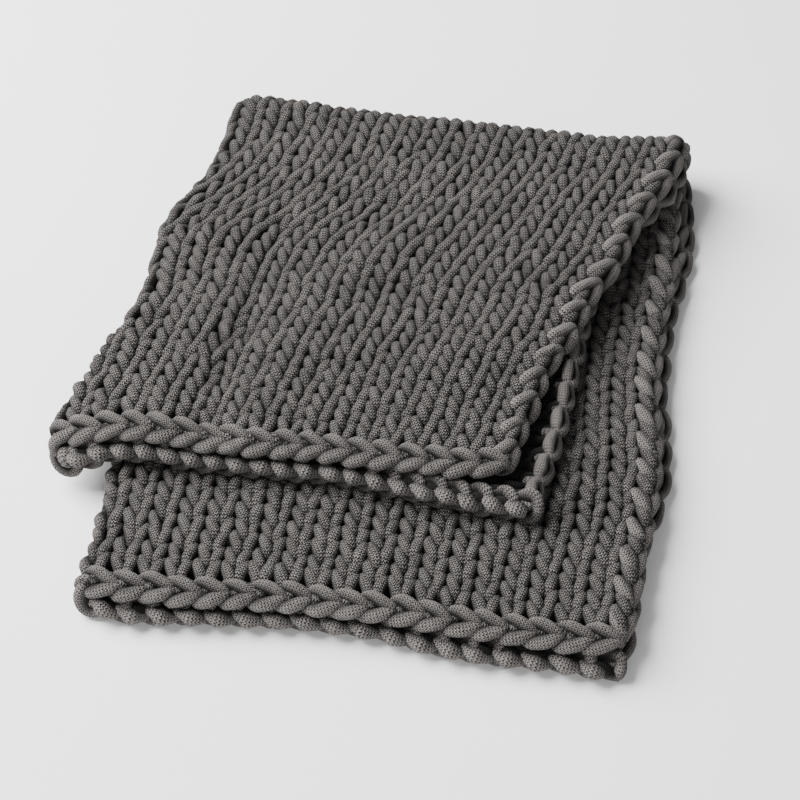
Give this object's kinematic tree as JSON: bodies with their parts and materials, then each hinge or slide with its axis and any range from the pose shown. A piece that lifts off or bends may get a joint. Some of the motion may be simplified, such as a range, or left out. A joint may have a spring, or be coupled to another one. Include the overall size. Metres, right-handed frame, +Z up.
{
  "type": "throw blanket",
  "caption": "Chunky knitted throw folded lengthwise and then over, lying flat in four thick layers with stepped front edges",
  "frame": {"origin": "bottom centre of the folded stack's bounding box, on the floor", "axes": "Z up through the layers, Y back from the free front edges to the back fold, X right from the left fold to the selvedges"},
  "size_m": [0.7245, 0.8328, 0.0998],
  "materials": {
    "throw": "matt knitted tube yarn"
  },
  "bodies": {
    "root": {"throw": "throw"}
  },
  "joints": []
}
